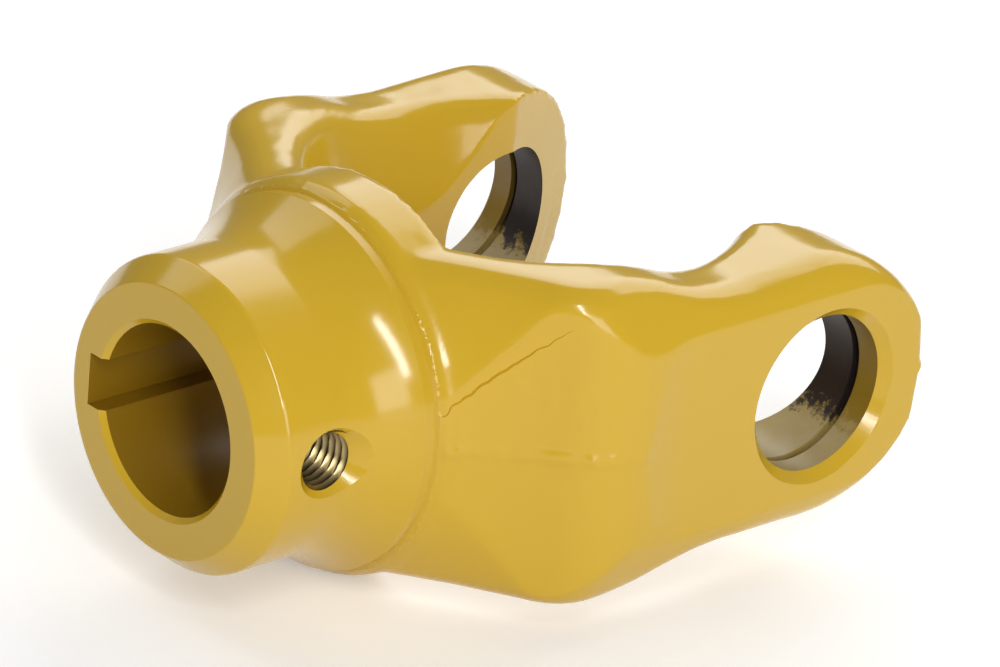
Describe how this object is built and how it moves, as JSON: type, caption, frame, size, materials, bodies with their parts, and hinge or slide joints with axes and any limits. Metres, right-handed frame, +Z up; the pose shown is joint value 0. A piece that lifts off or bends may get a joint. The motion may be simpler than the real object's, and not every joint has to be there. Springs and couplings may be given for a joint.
{
  "type": "forged implement yoke",
  "caption": "Forged driveline yoke: keyed hub bore with a set screw, flared collar and a two-armed fork whose cross bores carry snap ring grooves.",
  "frame": {"origin": "joint centre, where the hub axis meets the axis of the cross bores", "axes": "+X from the hub towards the ears along the hub axis, +Y along the cross bores, +Z up and square to the forging dies' parting plane"},
  "size_m": [0.1345, 0.112, 0.073],
  "materials": {
    "enamel": "glossy yellow enamel over the forged skin, thin in the machined bores"
  },
  "bodies": {
    "root": {"yoke": "enamel"}
  },
  "joints": []
}
